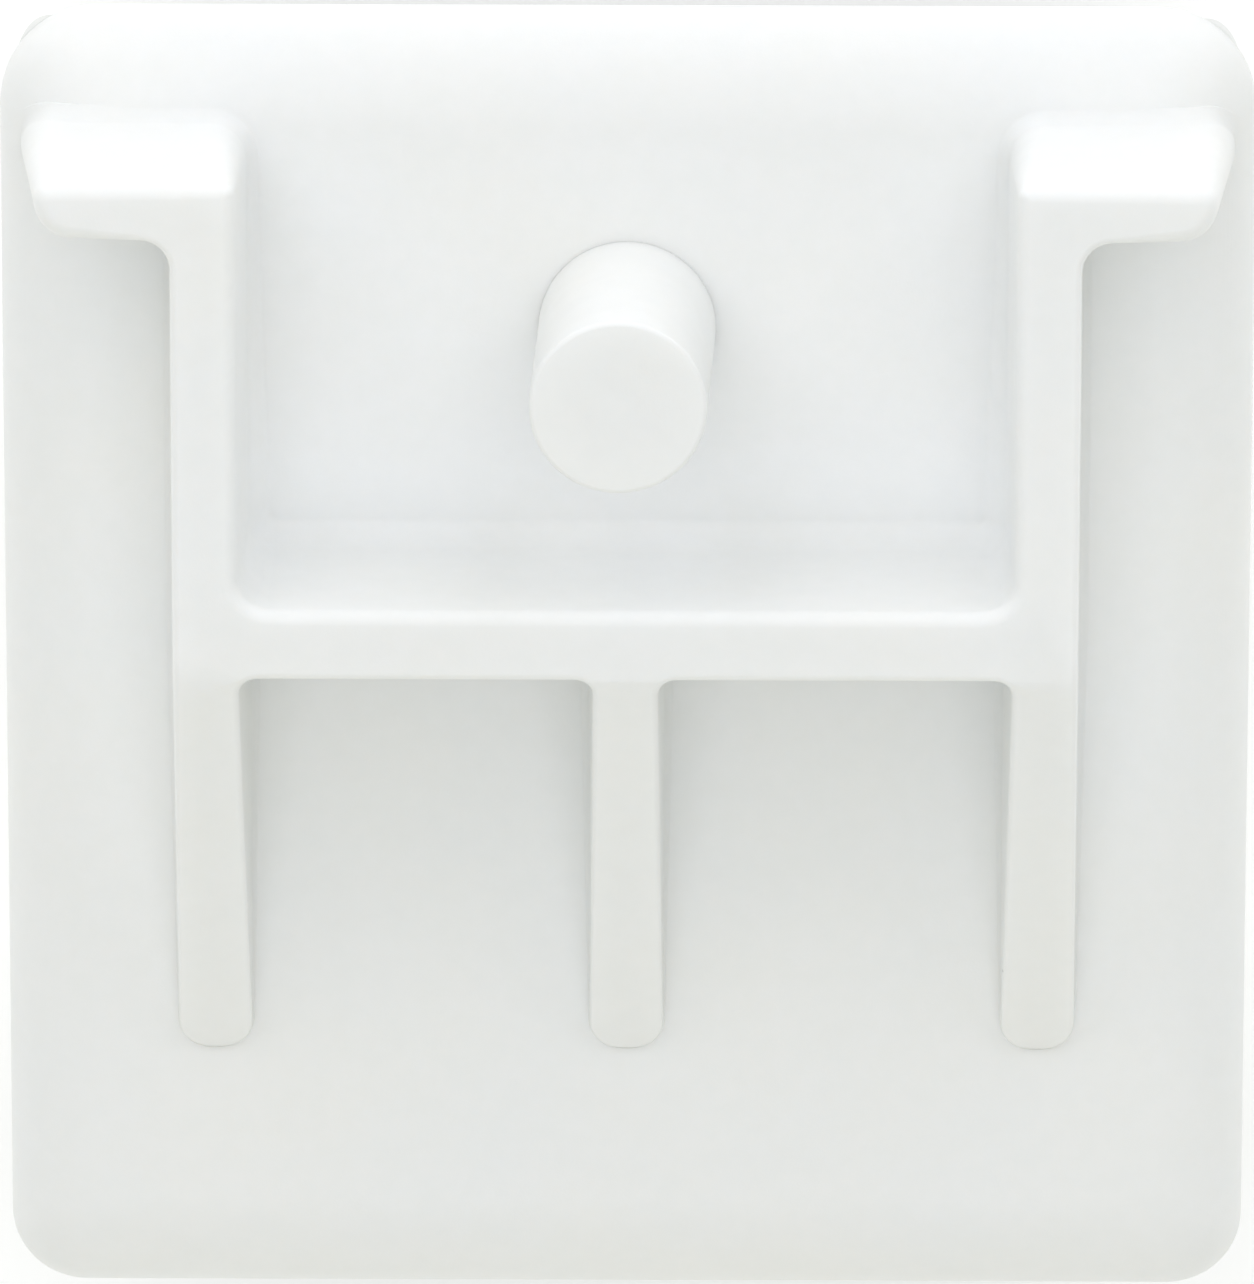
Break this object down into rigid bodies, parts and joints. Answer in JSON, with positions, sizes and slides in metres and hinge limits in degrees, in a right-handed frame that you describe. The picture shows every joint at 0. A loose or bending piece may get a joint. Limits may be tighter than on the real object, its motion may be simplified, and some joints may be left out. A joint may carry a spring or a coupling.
{
  "type": "raised pavement marker",
  "caption": "White clip-in reflective road marker: square plate with a hat-shaped clip wall, gussets and a round locating stud on its underside, lenses on the road side.",
  "frame": {"origin": "under the middle of the plate, in the plane that the crown lies on; the marker is stored clip side up, as pictured", "axes": "+Z out of the clip side, along the locating stud; +Y along the marker, from the gussets' feet to the flanges; +X across it"},
  "size_m": [0.1, 0.107, 0.0468],
  "materials": {
    "white_moulding": "satin",
    "white_pin": "satin",
    "white_shell": "satin",
    "clear_lens": "clear acrylic, polished",
    "prism_plate": "metallised prisms",
    "filler": "cast resin and sand"
  },
  "bodies": {
    "root": {"base_plate": "white_moulding", "locating_stud": "white_pin", "marker_shell": "white_shell", "front_lens": "clear_lens", "rear_lens": "clear_lens", "front_reflector": "prism_plate", "rear_reflector": "prism_plate", "core": "filler"}
  },
  "joints": []
}
